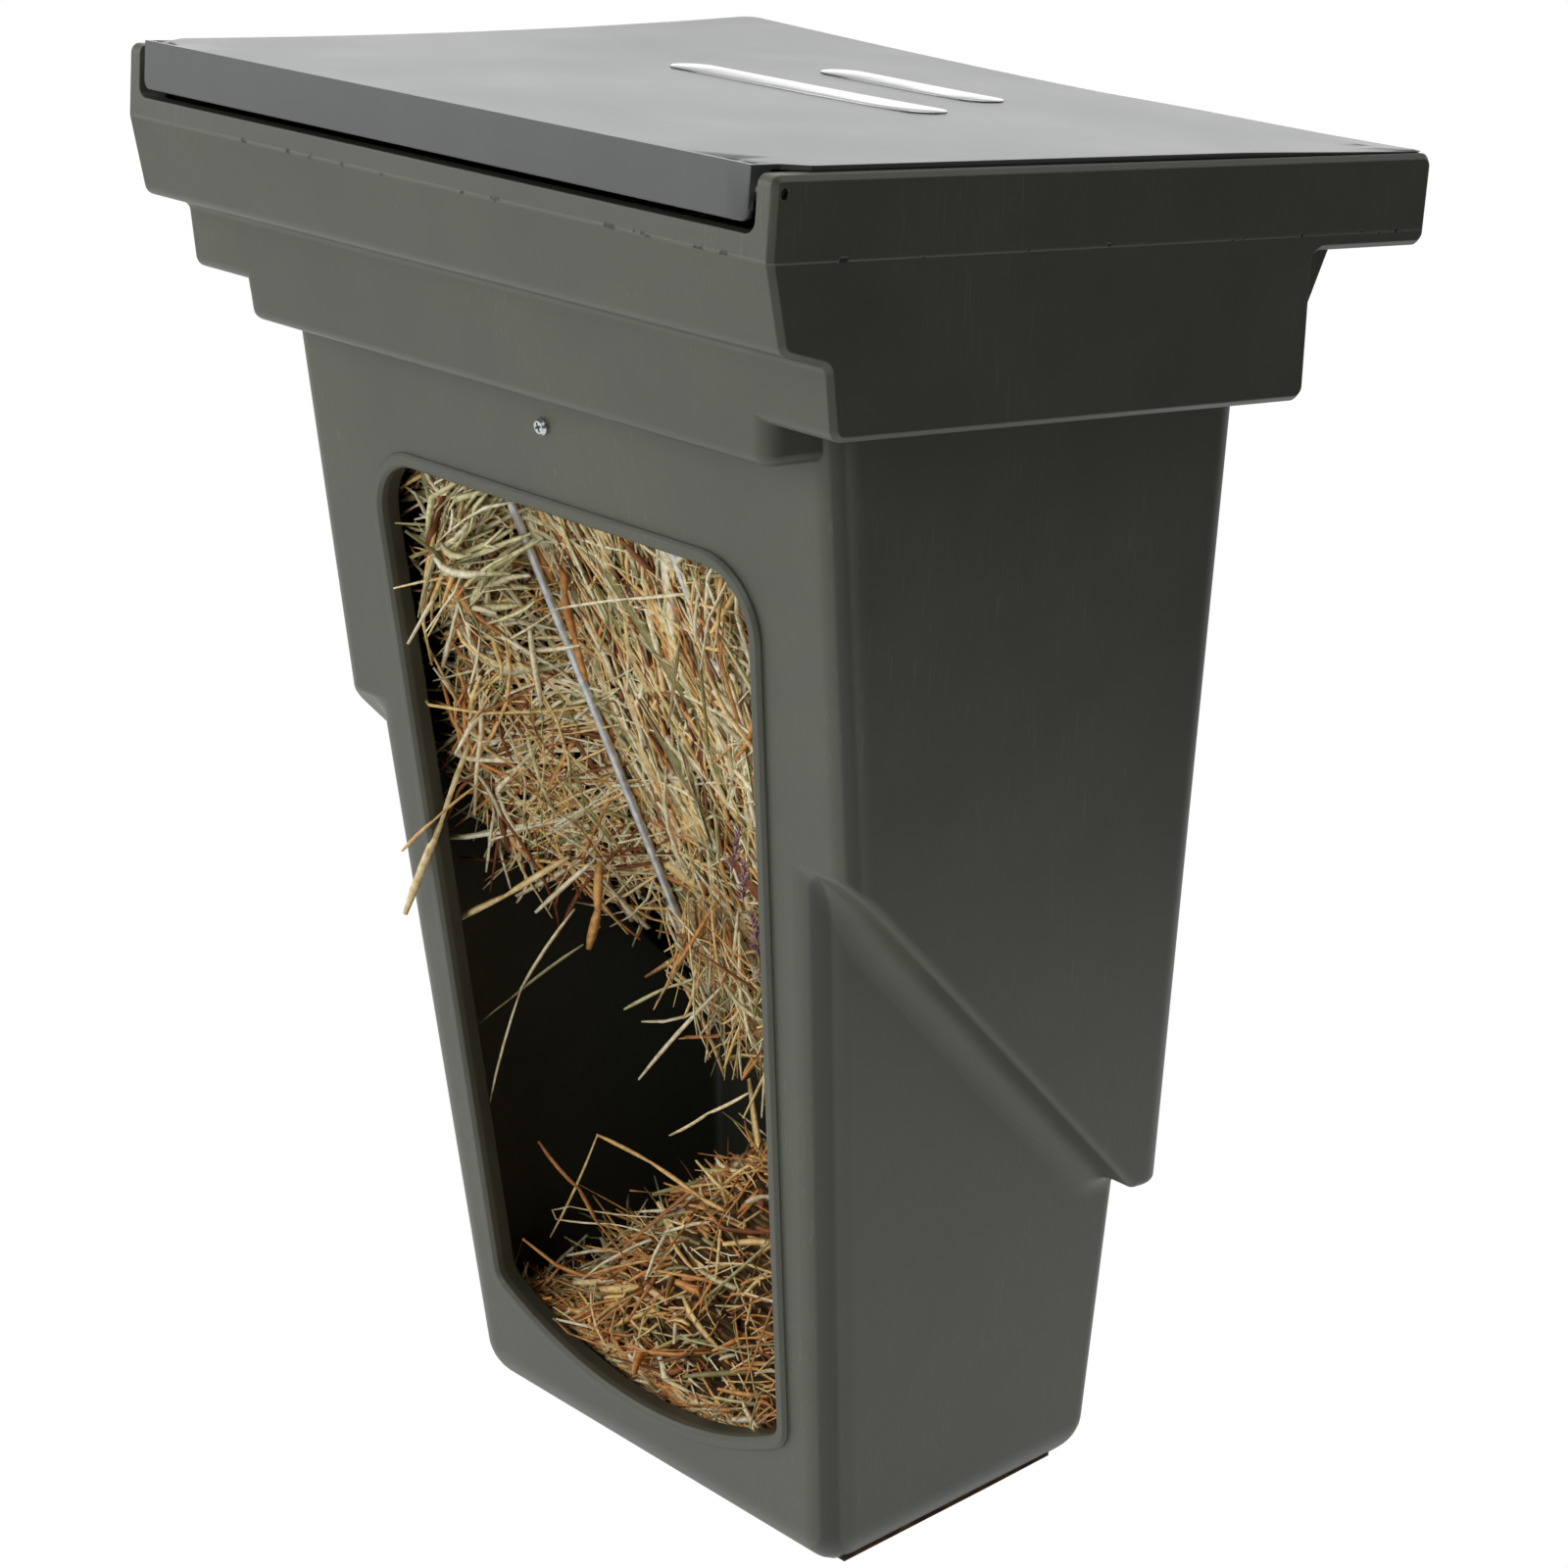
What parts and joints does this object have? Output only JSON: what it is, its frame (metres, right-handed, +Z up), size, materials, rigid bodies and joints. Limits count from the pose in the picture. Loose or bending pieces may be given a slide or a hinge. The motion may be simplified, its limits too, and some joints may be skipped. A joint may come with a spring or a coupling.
{
  "type": "hay feeder box",
  "caption": "Wall-hung moulded hay feeder: open-fronted tapered box with a hinged lid over the hay chamber and a wire rack inside.",
  "frame": {"origin": "middle of the four wall screw holes, on the back wall's outer face", "axes": "+Z up, +Y out of the back towards the wall that carries the feeder, +X to the right seen from the front"},
  "size_m": [0.651, 0.5292, 0.9587],
  "materials": {
    "tub_plastic": "moulded polyethylene, dark olive grey, satin",
    "lid_plastic": "moulded polyethylene sheet, dark grey, satin",
    "galvanised_wire": "galvanised",
    "zinc_steel": "bright zinc plated",
    "badge_metal": "brushed stainless sheet"
  },
  "bodies": {
    "tub": {"body_shell": "tub_plastic", "hinge_pin_left": "galvanised_wire", "hinge_pin_right": "galvanised_wire", "hay_rack_rod": "galvanised_wire", "rack_clip": "zinc_steel", "rack_screw": "zinc_steel", "rack_washer": "zinc_steel", "rack_nut": "zinc_steel", "foot_clip_left": "zinc_steel", "foot_clip_right": "zinc_steel", "foot_screw_left": "zinc_steel", "foot_screw_right": "zinc_steel"},
    "lid": {"lid_panel": "lid_plastic", "lid_badge_long": "badge_metal", "lid_badge_short": "badge_metal"}
  },
  "joints": [
    {"name": "lid_hinge", "type": "hinge", "parent": "tub", "child": "lid", "pos_m": [0, -0.41807, 0.29004], "axis": [1, 0, 0], "range_deg": [0, 110]}
  ]
}
